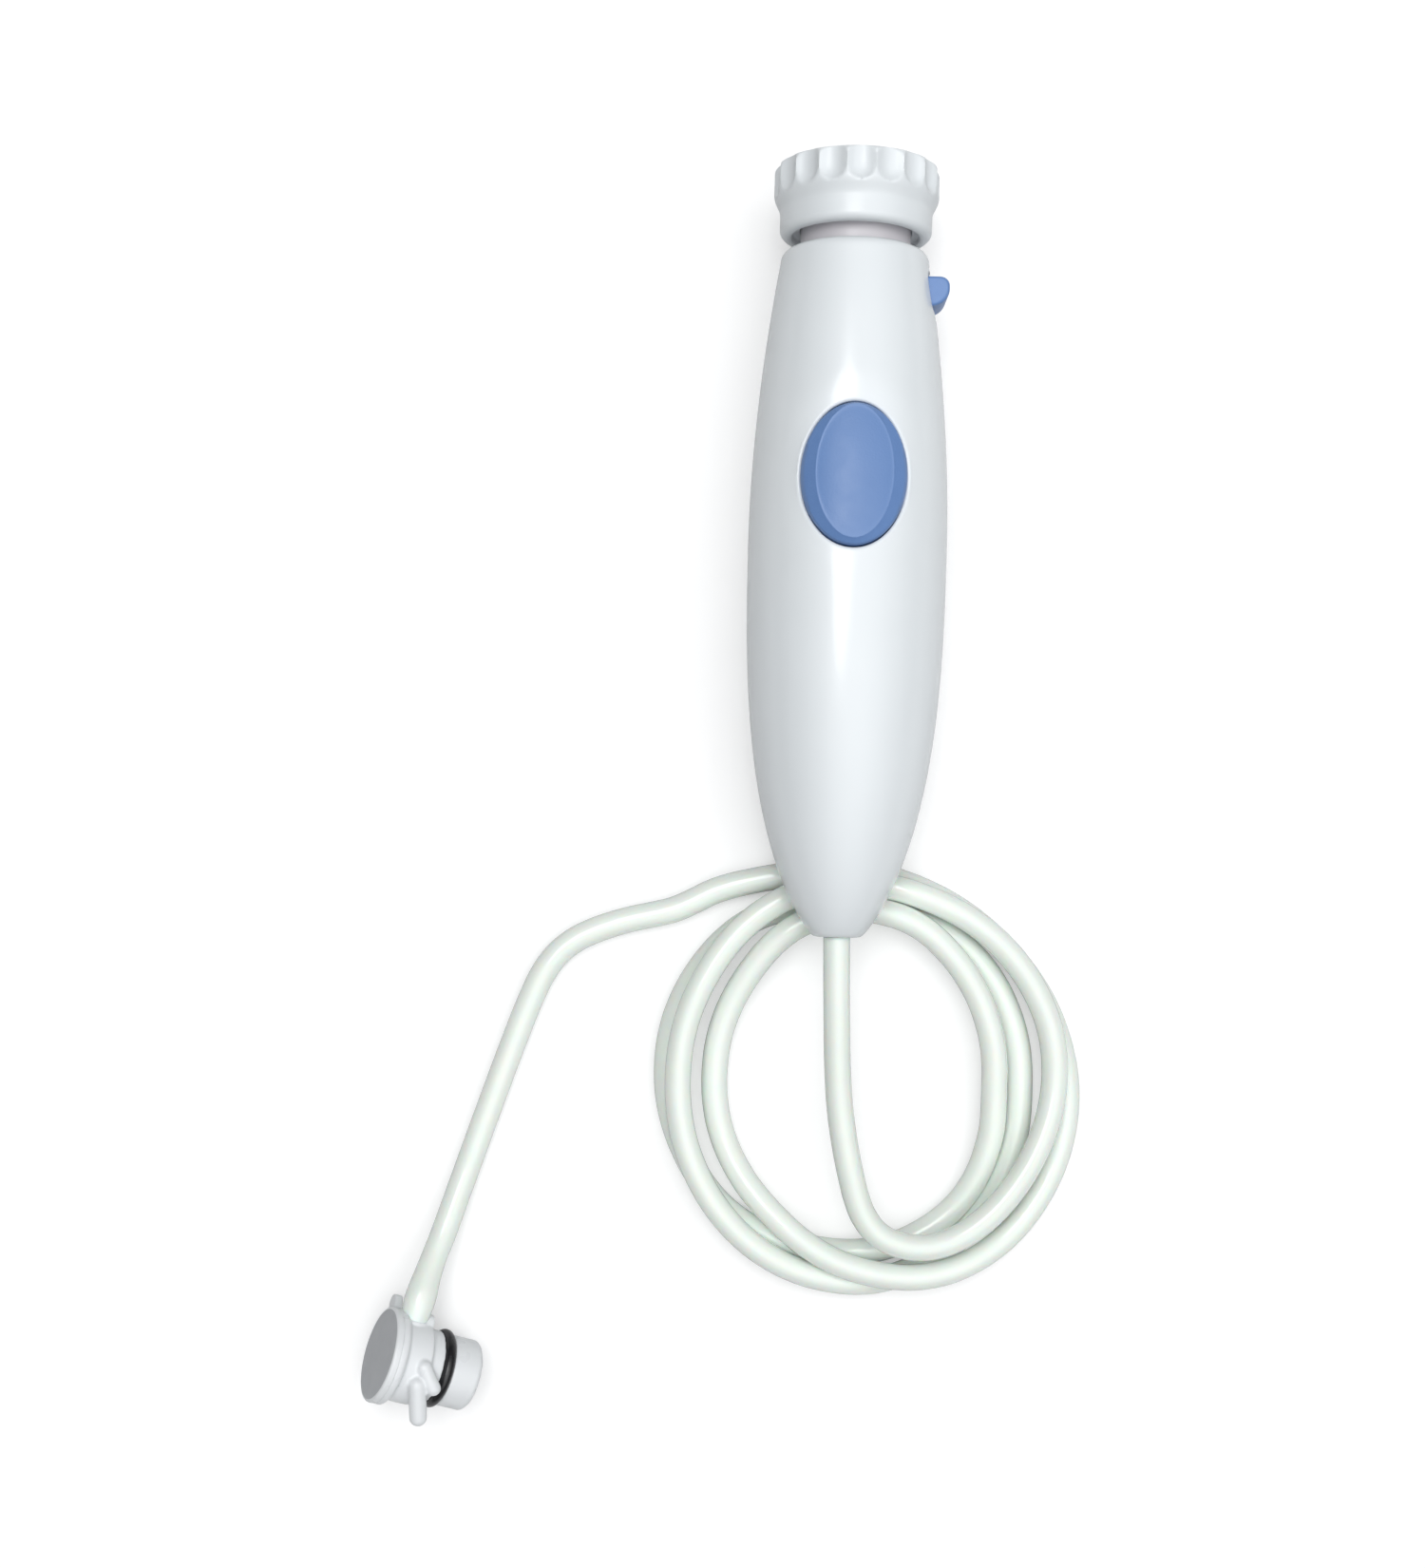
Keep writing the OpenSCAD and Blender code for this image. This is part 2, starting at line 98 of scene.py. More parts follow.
# ---------------------------------------------------------------- hose
TAIL_ROUTE = [
    (0, -68.5, 17.7), (0.2, -76, 17.4), (0.5, -84, 16.7), (0.9, -92, 15.8), (1.6, -99.5, 14.9),
    (2.8, -106.5, 14.1), (4.3, -112.8, 13.2), (6, -117.9, 12.5), (8.4, -121.4, 12.1), (11.6, -123.5, 11.8),
]
LEAD_ROUTE = [
    (-20.4, -60.4, 2.4), (-29, -64.4, 2.4), (-37.6, -66.6, 2.4), (-44, -68.8, 2.4), (-49, -71.7, 2.4),
    (-52.4, -75.5, 2.4), (-55, -80.7, 2.4), (-58.7, -90.7, 2.4), (-62.9, -103.0, 2.4), (-67.2, -116, 3),
    (-70.2, -125.4, 5.2), (-72.2, -131.4, 7.9), (-73.4, -136.2, 10.2), (-74.43, -140.2, 11),
]
# Stations along the coil: angle in degrees counted up from +X through the turns, radius, height.
# hose_points() joins them and eases apart the turns that would meet.
TURNS = [
    (288, 30.5, 11.5), (297, 31.8, 11.0), (308, 32.3, 10.4), (321, 32.5, 9.6), (335, 32.9, 8.6),
    (349, 33.6, 7.8), (362, 34.3, 7.3), (380, 35.0, 7.2), (405, 35.3, 7.1), (430, 35.6, 6.9),
    (452, 36.6, 6.5), (474, 36.9, 6.9), (490, 36.4, 7.0), (505, 35.5, 7.1), (523, 34.9, 7.1),
    (540, 34.6, 7.1), (562, 35.0, 7.1), (585, 35.8, 7.0), (600, 36.4, 6.2), (615, 36.8, 4.8),
    (630, 36.9, 3.4), (645, 35.8, 2.5), (660, 34.0, 2.4), (675, 32.2, 2.4), (697, 29.9, 2.4),
    (720, 28.6, 2.4), (742, 29.2, 2.4), (765, 30.4, 2.4), (790, 31.8, 2.4), (820, 34.0, 2.4),
    (855, 37.0, 2.4), (880, 37.1, 2.4), (900, 36.7, 2.4), (925, 35.7, 2.4), (941, 35.1, 2.4),
    (960, 33.6, 2.4), (975, 32.2, 2.4), (990, 31.4, 2.4), (1012, 29.7, 2.4), (1035, 27.7, 2.8),
    (1057, 25.1, 4.6), (1080, 23.5, 5.8), (1102, 24.4, 6.8), (1125, 26.5, 7.2), (1143, 28.9, 7.2),
    (1157, 30.9, 7.2), (1175, 32.0, 7.2), (1192, 31.7, 7.1), (1221, 29.3, 5.4), (1240, 28.4, 4.2),
    (1260, 27.9, 3.6), (1285, 28.2, 4.2), (1312, 29.2, 6.4), (1328, 31.0, 7.3), (1341, 32.9, 7.4),
    (1357, 35.2, 7.3), (1368, 36.8, 6.6), (1380, 38.0, 5.4), (1395, 38.5, 3.6), (1410, 38.3, 2.6),
    (1435, 37.5, 2.4), (1460, 36.3, 2.4), (1485, 35.6, 2.4), (1510, 36.4, 2.4), (1540, 38.8, 2.4),
    (1554, 40.8, 2.4),
]
STEP_MM = 4.0         # between the points of the finished centreline
TURN_STEP = 7.5       # degrees between the points worked out from the stations
SPLINE_PARTS = 24     # straight bits to each stretch of the spline
HOSE_GAP = 0.05       # clearance between turns
EASE_ROUNDS = 160
EASE_PUSH = 0.3       # how hard points that are too near are pushed apart
EASE_SMOOTH = 0.3     # how far each point's shift is evened out with its neighbours'
EASE_HOLD = 0.03      # how hard a point is drawn back to where it began
NEIGHBOURS = 5        # points this few steps apart along the hose aren't pushed apart
HELD_AT_TAIL = 6      # points that the easing leaves alone at the casing's end
HELD_AT_LEAD = 24     # and at the connector's end
CASING_GAP = 0.1      # clearance between hose and casing
# The radius of the hose's last three points, from its end back: it is stretched over the barb
BARB_SWELL = (1.04, 1.2, 1.08)


def smooth_path(points, step):
    """Points a fixed step apart along a centripetal spline through the given ones."""
    p = np.array(points, float)
    p = np.vstack([2 * p[0] - p[1], p, 2 * p[-1] - p[-2]])
    out = []
    for a, b, c, d in zip(p[:-3], p[1:-2], p[2:-1], p[3:]):
        ta = np.linalg.norm(b - a) ** 0.5
        tb = ta + np.linalg.norm(c - b) ** 0.5
        tc = tb + np.linalg.norm(d - c) ** 0.5
        for t in np.linspace(ta, tb, SPLINE_PARTS, endpoint=False):
            ab = (a * (ta - t) + b * t) / ta
            bc = (b * (tb - t) + c * (t - ta)) / (tb - ta)
            cd = (c * (tc - t) + d * (t - tb)) / (tc - tb)
            abc = (ab * (tb - t) + bc * t) / tb
            bcd = (bc * (tc - t) + cd * (t - ta)) / (tc - ta)
            out.append((abc * (tb - t) + bcd * (t - ta)) / (tb - ta))
    out.append(p[-2])
    out = np.array(out)
    run = np.concatenate([[0], np.cumsum(np.linalg.norm(np.diff(out, axis=0), axis=1))])
    stations = np.linspace(0, run[-1], int(round(run[-1] / step)) + 1)
    return np.stack([np.interp(stations, run, out[:, k]) for k in range(3)], axis=1)


def hose_points():
    """The hose's whole centreline: tail, coil and lead, with turns eased apart where they would meet."""
    cx, cy = COIL_CENTER
    stations = np.array(TURNS, float)
    angles = np.arange(stations[0, 0], stations[-1, 0] + 1, TURN_STEP)
    radii = smooth_interp(angles, stations[:, 0], stations[:, 1])
    heights = smooth_interp(angles, stations[:, 0], stations[:, 2])
    turns = [(cx + r * math.cos(math.radians(a)), cy + r * math.sin(math.radians(a)), z)
             for a, r, z in zip(angles, radii, heights)]
    p = smooth_path(TAIL_ROUTE + turns + LEAD_ROUTE, STEP_MM)
    free = np.ones(len(p))
    free[:HELD_AT_TAIL] = 0
    free[-HELD_AT_LEAD:] = 0
    apart = 2 * HOSE_R + HOSE_GAP
    index = np.arange(len(p))
    far = np.abs(index[:, None] - index[None, :]) > NEIGHBOURS
    home = p.copy()
    for _ in range(EASE_ROUNDS):
        gap = p[:, None, :] - p[None, :, :]
        dist = np.linalg.norm(gap, axis=2) + 1e-9
        push = np.where(far & (dist < apart), (apart - dist) / dist, 0)
        move = EASE_PUSH * (push[:, :, None] * gap).sum(axis=1)
        smooth = np.zeros_like(p)
        drift = p - home
        smooth[1:-1] = (drift[:-2] + drift[2:]) / 2 - drift[1:-1]
        p = p + free[:, None] * (move + EASE_SMOOTH * smooth - EASE_HOLD * drift)
        p[:, 2] = np.maximum(p[:, 2], HOSE_R)
        p = clear_of_handle(p, free)
    return p


def clear_of_handle(p, free):
    """Pushes free points that lie too near the casing away from its axis."""
    for i in np.nonzero(free)[0]:
        x, y, z = p[i]
        if Y_TAIL < y < Y_MOUTH:
            away = math.hypot(x, z - AXIS_Z)
            need = body_r(y) + HOSE_R + CASING_GAP
            if away < need:
                p[i, 0] *= need / away
                p[i, 2] = max(HOSE_R, AXIS_Z + (z - AXIS_Z) * need / away)
    return p


def smooth_interp(x, xs, ys):
    """Monotone cubic interpolation."""
    slopes = np.diff(ys) / np.diff(xs)
    tangent = np.concatenate([[slopes[0]], np.zeros(len(xs) - 2), [slopes[-1]]])
    for i in range(1, len(xs) - 1):
        if slopes[i - 1] * slopes[i] > 0:
            tangent[i] = 2 * slopes[i - 1] * slopes[i] / (slopes[i - 1] + slopes[i])
    k = np.clip(np.searchsorted(xs, x, side="right") - 1, 0, len(xs) - 2)
    h = xs[k + 1] - xs[k]
    t = (x - xs[k]) / h
    return ((1 + 2 * t) * (1 - t) ** 2 * ys[k] + t * (1 - t) ** 2 * h * tangent[k]
            + t * t * (3 - 2 * t) * ys[k + 1] + t * t * (t - 1) * h * tangent[k + 1])


def add_hose(material):
    """The hose as one curve with a round section, and its length in metres."""
    points = hose_points()
    data = bpy.data.curves.new("supply_hose", "CURVE")
    data.dimensions = "3D"
    data.bevel_depth = HOSE_R * MM
    data.bevel_resolution = 6
    data.resolution_u = 4
    data.use_fill_caps = True
    spline = data.splines.new("BEZIER")
    spline.bezier_points.add(len(points) - 1)
    spline.radius_interpolation = "CARDINAL"
    for knot, place in zip(spline.bezier_points, points):
        knot.co = Vector(place) * MM
        knot.handle_left_type = "AUTO"
        knot.handle_right_type = "AUTO"
    for knot, swell in zip(reversed(spline.bezier_points), BARB_SWELL):
        knot.radius = swell
    data.materials.append(material)
    hose = bpy.data.objects.new("supply_hose", data)
    bpy.context.scene.collection.objects.link(hose)
    length = float(np.linalg.norm(np.diff(points, axis=0), axis=1).sum()) * MM
    return hose, length


# ---------------------------------------------------------------- materials
TONE_CELLS = 60          # cells per metre of the drift between two tones
GLOSS_CELLS = 350        # cells per metre of the drift in gloss
NOISE_LOW, NOISE_HIGH = 0.3, 0.7    # most of a noise texture's values lie between these
GRAIN_STRENGTH = 0.4
COAT_ROUGHNESS = 0.08


def noise(tree, scale, detail=3.0):
    """A noise texture on the object's own coordinates; the scale is in cells per metre."""
    where = tree.nodes.new("ShaderNodeTexCoord")
    texture = tree.nodes.new("ShaderNodeTexNoise")
    texture.inputs["Scale"].default_value = scale
    texture.inputs["Detail"].default_value = detail
    tree.links.new(where.outputs["Object"], texture.inputs["Vector"])
    return texture.outputs["Fac"]


def spread(tree, value, low, high):
    """Maps a noise value to a range."""
    node = tree.nodes.new("ShaderNodeMapRange")
    node.inputs["From Min"].default_value = NOISE_LOW
    node.inputs["From Max"].default_value = NOISE_HIGH
    node.inputs["To Min"].default_value = low
    node.inputs["To Max"].default_value = high
    tree.links.new(value, node.inputs["Value"])
    return node.outputs["Result"]


def moulded(name, light, dark, roughness, grain, grain_depth, coat=0.0, **sockets):
    """A moulded surface: colour drifts between two tones, gloss varies, and a fine grain lifts it."""
    material = bpy.data.materials.new(name)
    material.use_nodes = True
    tree = material.node_tree
    shader = tree.nodes["Principled BSDF"]
    ramp = tree.nodes.new("ShaderNodeValToRGB")
    ramp.color_ramp.elements[0].position = NOISE_LOW
    ramp.color_ramp.elements[0].color = (*dark, 1)
    ramp.color_ramp.elements[1].position = NOISE_HIGH
    ramp.color_ramp.elements[1].color = (*light, 1)
    tree.links.new(noise(tree, TONE_CELLS), ramp.inputs["Fac"])
    tree.links.new(ramp.outputs["Color"], shader.inputs["Base Color"])
    gloss = spread(tree, noise(tree, GLOSS_CELLS, 1.0), roughness * 0.9, roughness * 1.1)
    tree.links.new(gloss, shader.inputs["Roughness"])
    bump = tree.nodes.new("ShaderNodeBump")
    bump.inputs["Strength"].default_value = GRAIN_STRENGTH
    bump.inputs["Distance"].default_value = grain_depth
    tree.links.new(noise(tree, grain, 2.0), bump.inputs["Height"])
    tree.links.new(bump.outputs["Normal"], shader.inputs["Normal"])
    shader.inputs["Coat Weight"].default_value = coat
    shader.inputs["Coat Roughness"].default_value = COAT_ROUGHNESS
    for socket, value in sockets.items():
        shader.inputs[socket.replace("_", " ")].default_value = value
    return material


WHITE = moulded("white_gloss", (0.765, 0.80, 0.82), (0.75, 0.785, 0.805), 0.24, 400, 0.00001, coat=0.2)
COLLAR_WHITE = moulded("collar_white", (0.75, 0.785, 0.805), (0.735, 0.77, 0.79), 0.36, 500, 0.00001,
                       coat=0.12)
# the neck's warm grey is partly painted shade of the shadowed neck, over its own greyish white plastic
NECK_GREY_WITH_PAINTED_SHADE = moulded("neck_grey_with_painted_shade", (0.57, 0.55, 0.575), (0.54, 0.52, 0.55), 0.38, 900, 0.00002)
BLUE = moulded("blue_plastic", (0.134, 0.246, 0.505), (0.124, 0.231, 0.481), 0.40, 2600, 0.00006,
               Specular_IOR_Level=0.45)
VINYL = moulded("hose_vinyl", (0.83, 0.885, 0.83), (0.80, 0.86, 0.80), 0.10, 300, 0.00001, coat=0.2,
                Subsurface_Weight=0.3, Subsurface_Scale=0.002)
CONNECTOR_WHITE = moulded("connector_white", (0.77, 0.79, 0.805), (0.75, 0.77, 0.785), 0.3, 600, 0.00002)
# the connector cap's face: grey that is partly painted shade of a face turned from the light, over plastic a
# little greyer than the body
CAP_GREY_WITH_PAINTED_SHADE = moulded("cap_grey", (0.45, 0.465, 0.485), (0.43, 0.445, 0.465), 0.42, 1500, 0.00003)
RUBBER = moulded("black_rubber", (0.012, 0.012, 0.014), (0.006, 0.006, 0.007), 0.28, 1800, 0.00005)
INNER = moulded("inner_plastic", (0.62, 0.64, 0.64), (0.58, 0.60, 0.60), 0.4, 1200, 0.00004)
STEEL = moulded("spring_steel", (0.56, 0.57, 0.58), (0.48, 0.49, 0.50), 0.25, 3000, 0.00002, Metallic=1.0)
SEAL = moulded("seal_rubber", (0.035, 0.035, 0.04), (0.02, 0.02, 0.024), 0.5, 1500, 0.00006)

FINISH = {
    "tip_socket": NECK_GREY_WITH_PAINTED_SHADE, "pause_spring": STEEL, "eject_spring": STEEL, "hose_clamp": STEEL,
    "valve_plunger": INNER, "valve_cap": INNER, "valve_body": INNER, "tip_seat": INNER,
    "seal_retainer": INNER, "hose_stop": INNER, "plunger_upper_oring": RUBBER,
    "plunger_lower_oring": RUBBER, "seat_oring": RUBBER, "tip_seal": SEAL, "inner_hose": VINYL,
    "connector_oring": RUBBER,
}


def finish_cad_nodes():
    """Every CAD node that stays gets its procedural finish."""
    for name, material in FINISH.items():
        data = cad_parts[name].data
        data.materials.clear()
        data.materials.append(material)


# ---------------------------------------------------------------- mesh helpers
def add_piece(name, points, faces, material, body, nodes, crease=35):
    """A piece from points in mm and faces, smooth apart from edges sharper than the crease angle."""
    data = bpy.data.meshes.new(name)
    corners = [tuple(int(i) for i in f) for f in faces]
    data.from_pydata((np.asarray(points, float) * MM).tolist(), [], corners)
    work = bmesh.new()
    work.from_mesh(data)
    bmesh.ops.remove_doubles(work, verts=work.verts, dist=1e-7)
    loose = [v for v in work.verts if not v.link_faces]
    bmesh.ops.delete(work, geom=loose, context="VERTS")
    bmesh.ops.recalc_face_normals(work, faces=work.faces)
    work.to_mesh(data)
    work.free()
    data.shade_smooth()
    data.set_sharp_from_angle(angle=math.radians(crease))
    data.materials.append(material)
    piece = bpy.data.objects.new(name, data)
    bpy.context.scene.collection.objects.link(piece)
    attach(piece, body)
    if nodes:
        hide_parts(*nodes)
    return piece


def soften(piece, width, segments=3, angle=50):
    """Rounds the piece's sharp edges."""
    bevel = piece.modifiers.new("soft edges", "BEVEL")
    bevel.width = width * MM
    bevel.segments = segments
    bevel.limit_method = "ANGLE"
    bevel.angle_limit = math.radians(angle)
    bevel.harden_normals = True


def ring_faces(rings, sides, closed=True):
    """Quads between rings of points that lie one after another."""
    out = []
    for i in range(rings if closed else rings - 1):
        for k in range(sides):
            a = i * sides
            b = ((i + 1) % rings) * sides
            out.append((a + k, a + (k + 1) % sides, b + (k + 1) % sides, b + k))
    return out


def smoothstep(low, high, x):
    """0 below low, 1 above high, and a smooth rise between."""
    t = np.clip((x - low) / (high - low), 0, 1)
    return t * t * (3 - 2 * t)


def arc(center, radii, start, end, count):
    """Points on an ellipse's arc, angles in degrees."""
    turns = np.radians(np.linspace(start, end, count))
    return [(center[0] + radii[0] * math.cos(t), center[1] + radii[1] * math.sin(t)) for t in turns]


# ---------------------------------------------------------------- casing
WALL = 1.8
SIDES = 96
HOLE_R = HOSE_R + 0.05
NECK_HOLE_R = 9.9
LIP = 1.8
TAIL_PLUG = 4.5
EDGE_R = 2.0
PAUSE_Y = 11.2
PAUSE_HALF = (9.2, 12.3)
PAUSE_GAP = 0.35
EJECT_Y = 46.15
EJECT_OPENING = (4.7, 3.55)
PATCH_SHARES = (0.25, 0.5, 0.7, 0.84)
# An opening's rounded edge: how far outside the edge each ring lies, and how deep below the casing
OPENING_LIP = ((0.7, 0.0), (0.42, 0.02), (0.2, 0.12), (0.06, 0.26), (0.0, 0.45))
DISH_REACH = 5.0


def casing_stations():
    """(radius, y) along the casing from the hose's hole to the neck's hole."""
    tail = [(HOLE_R, Y_TAIL), (3.0, Y_TAIL), (3.6, Y_TAIL), (4.1, Y_TAIL + 0.1), (4.5, Y_TAIL + 0.33)]
    ys = np.concatenate([
        np.linspace(Y_TAIL + 0.8, -57, 10), np.linspace(-55, -9, 21), np.linspace(-7, 29.4, 19),
        np.linspace(31.5, 39, 4), np.linspace(41, 51.2, 9),
    ])
    body = [(body_r(y), y) for y in ys]
    rim_y = Y_MOUTH - EDGE_R
    rim_r = body_r(rim_y)
    shoulder = arc((rim_r - EDGE_R, rim_y), (EDGE_R, EDGE_R), 12, 90, 8)
    face = [(rim_r - EDGE_R - 0.35, Y_MOUTH), (NECK_HOLE_R + 0.2, Y_MOUTH), (NECK_HOLE_R, Y_MOUTH - 0.2)]
    return tail + body + shoulder + face


def opening_patch(y_middle, reach_turn, ys, shape, dish):
    """The border of a block of the grid, and rings of (x, y, drop, share) in to an opening's edge."""
    turns = np.arange(-reach_turn, reach_turn + 1) * 2 * math.pi / SIDES
    border = [(t, ys[0]) for t in turns[:-1]] + [(turns[-1], y) for y in ys[:-1]]
    border += [(t, ys[-1]) for t in turns[:0:-1]] + [(turns[0], y) for y in ys[:0:-1]]
    half_turn = turns[-1]
    half_y = (ys[-1] - ys[0]) / 2

    def ring(share_at, depth):
        line = []
        for turn, y in border:
            phi = math.atan2((y - (ys[0] + ys[-1]) / 2) / half_y, turn / half_turn)
            across, along = shape(phi)
            along += y_middle
            far_across = body_r(y) * math.sin(turn)
            gap = math.hypot(far_across - across, y - along)
            share = share_at(gap)
            x = far_across + (across - far_across) * share
            v = y + (along - y) * share
            drop = depth + dish(phi) * (1 - smoothstep(0, DISH_REACH, gap * (1 - share)))
            line.append((x, v, drop, share))
        return line

    rings = [ring(lambda gap, share=share: share, 0.0) for share in PATCH_SHARES]
    rings += [ring(lambda gap, inset=inset: 1 - inset / gap, depth) for inset, depth in OPENING_LIP]
    return border, rings


def oval_opening(phi):
    """A point (across, along) on the edge of the pause button's opening."""
    return ((PAUSE_HALF[0] + PAUSE_GAP) * math.cos(phi), (PAUSE_HALF[1] + PAUSE_GAP) * math.sin(phi))


def side_opening(phi):
    """A point (across, along) on the edge of the eject button's opening."""
    c, s = math.cos(phi), math.sin(phi)
    return (EJECT_OPENING[0] * math.copysign(abs(c) ** 0.5, c),
            EJECT_OPENING[1] * math.copysign(abs(s) ** 0.5, s))


def add_casing():
    """Both halves of the casing, hollow, with the two buttons' openings cut in the grid."""
    stations = casing_stations()
    count = len(stations)
    outer, inner, faces = [], [], []
    for j, (r, y) in enumerate(stations):
        r_in = max(r - WALL, HOLE_R + 0.02 * j)
        if y > Y_MOUTH - EDGE_R + 0.1:
            r_in = max(r - WALL, NECK_HOLE_R + 0.05 * (count - 1 - j))
        y_in = min(max(y, Y_TAIL + TAIL_PLUG + 0.01 * j), Y_MOUTH - LIP - 0.01 * (count - j))
        for k in range(SIDES):
            t = 2 * math.pi * k / SIDES
            outer.append((r * math.sin(t), y, AXIS_Z + r * math.cos(t)))
            inner.append((r_in * math.sin(t), y_in, AXIS_Z + r_in * math.cos(t)))
    ys = [y for r, y in stations]
    blocks = []
    for turn_middle, y_middle, reach, low, high, shape, dish in (
        (0, PAUSE_Y, 12, -7, 29.4, oval_opening, lambda phi: 0.16 + 0.34 * max(0.0, math.sin(phi)) ** 2),
        (SIDES // 4, EJECT_Y, 9, 41, 51.2, side_opening, lambda phi: 0.12),
    ):
        j0 = min(range(count), key=lambda j: abs(ys[j] - low))
        j1 = max(j for j in range(count) if ys[j] <= high + 0.01)
        blocks.append((turn_middle - reach, turn_middle + reach, j0, j1))
        border, rings = opening_patch(y_middle, reach, ys[j0:j1 + 1], shape, dish)
        index = {}
        for j in range(j0, j1 + 1):
            for k in range(-reach, reach + 1):
                index[(round(k * 2 * math.pi / SIDES, 6), ys[j])] = j * SIDES + (turn_middle + k) % SIDES
        last = [index[(round(t, 6), y)] for t, y in border]
        around = 2 * math.pi * turn_middle / SIDES
        for line in rings:
            here = []
            for x, v, drop, share in line:
                r = body_r(min(v, Y_MOUTH - EDGE_R))
                t = around + math.asin(x / r)
                here.append(len(outer))
                outer.append(((r - drop) * math.sin(t), v, AXIS_Z + (r - drop) * math.cos(t)))
                r_in = r - WALL
                t_in = around + math.asin(x * (1 - WALL / r * (1 - share)) / r_in)
                inner.append((r_in * math.sin(t_in), v, AXIS_Z + r_in * math.cos(t_in)))
            for i in range(len(here)):
                n = (i + 1) % len(here)
                faces.append((last[i], last[n], here[n], here[i]))
            last = here
    for j in range(count - 1):
        for k in range(SIDES):
            inside = any(
                j0 <= j < j1 and (k - k0) % SIDES < k1 - k0 for k0, k1, j0, j1 in blocks)
            if not inside:
                n = (k + 1) % SIDES
                faces.append((j * SIDES + k, j * SIDES + n, (j + 1) * SIDES + n, (j + 1) * SIDES + k))
    outer = np.array(outer)
    inner = np.array(inner)
    for name, side, node in (("casing_front", 1, "front_shell"), ("casing_rear", -1, "rear_shell")):
        skin = [f for f in faces if side * (outer[list(f), 2].mean() - AXIS_Z) > 0]
        edges = {}
        for f in skin:
            for a, b in zip(f, f[1:] + f[:1]):
                edges.setdefault(frozenset((a, b)), []).append((a, b))
        shift = len(outer)
        closing = [(b, a, a + shift, b + shift) for (a, b), *rest in edges.values() if not rest]
        back = [tuple(i + shift for i in reversed(f)) for f in skin]
        piece = add_piece(name, np.vstack([outer, inner]), skin + back + closing, WHITE, "handle", [node])
        soften(piece, 0.12, 2, 65)


# ---------------------------------------------------------------- collar
FLUTES = 18
FLUTE_R = 3.6
FLUTE_DEPTH = 1.1
COLLAR_R = 14.7
COLLAR_WALL_R = 13.55
FLUTE_FULL_Y = 64.9
COLLAR_CROWN_R = 1.3


def collar_radius(r, y, turn):
    """Radius of the collar's outside once the flutes are cut."""
    if r < COLLAR_WALL_R + 0.02 or y > Y_TOP + 0.01:
        return r
    pitch = 2 * math.pi / FLUTES
    off = (turn + pitch / 2) % pitch - pitch / 2
    center = COLLAR_R + FLUTE_R - FLUTE_DEPTH
    cutter = FLUTE_R ** 2 - max(0.0, FLUTE_FULL_Y - y) ** 2 - (center * math.sin(off)) ** 2
    if cutter <= 0:
        return r
    return min(r, center * math.cos(off) - math.sqrt(cutter))


def add_collar():
    """The collar as a ring with flutes cut in its outside."""
    skirt = [(COLLAR_WALL_R, y) for y in (57.6, 58.4, 59.4)]
    step = [(COLLAR_WALL_R + (COLLAR_R - COLLAR_WALL_R) * float(smoothstep(59.9, 63.4, y)), y)
            for y in np.linspace(60.2, 63.2, 9)]
    band = [(COLLAR_R, y) for y in (63.6, 64.2, 64.8, 65.6, 66.4, 67.0)]
    crown = arc((COLLAR_R - COLLAR_CROWN_R, Y_TOP - COLLAR_CROWN_R),
                (COLLAR_CROWN_R, COLLAR_CROWN_R), 10, 90, 8)
    top = [(13.2, Y_TOP), (12.0, Y_TOP)] + arc((11.6, Y_TOP - 0.5), (0.5, 0.5), 90, 180, 4)
    well = [(11.1, 67.2), (10.9, 66.55), (10.5, 66.5), (8.02, 66.5)]
    under = [(8.02, 58.45), (9.97, 58.4), (9.97, 57.2), (10.15, 57.0), (11.1, 57.0), (11.3, 56.8)]
    lip = arc((11.85, 56.4), (0.55, 0.5), 180, 270, 4) + arc((12.15, 57.3), (1.4, 1.4), 275, 355, 8)
    profile = skirt + step + band + crown + top + well + under + lip
    sides = FLUTES * 14
    points = []
    for r, y in profile:
        for k in range(sides):
            t = 2 * math.pi * k / sides
            radius = collar_radius(r, y, t)
            points.append((radius * math.sin(t), y, AXIS_Z + radius * math.cos(t)))
    add_piece("collar", points, ring_faces(len(profile), sides), COLLAR_WHITE, "collar", ["collar_ring"],
              crease=50)


# ---------------------------------------------------------------- pause button
CROWN_R = 18.9
CROWN_ARCH = 90.0
CROWN_TILT = math.radians(2.8)
FACE_HALF = (6.75, 11.55)
FACE_SHIFT = 0.35
PAUSE_SKIRT = 1.4
PAUSE_FLANGE = 1.2
PAUSE_FLANGE_Z = 10.1
PAUSE_ROOF_Z = 15.0


def crown(x, v):
    """Height of the button's barrel-shaped face above the handle's axis; v is y from its middle."""
    along = v * math.cos(CROWN_TILT)
    ring = CROWN_R - CROWN_ARCH + math.sqrt(CROWN_ARCH ** 2 - along ** 2)
    return math.sqrt(ring ** 2 - x * x) - v * math.sin(CROWN_TILT)


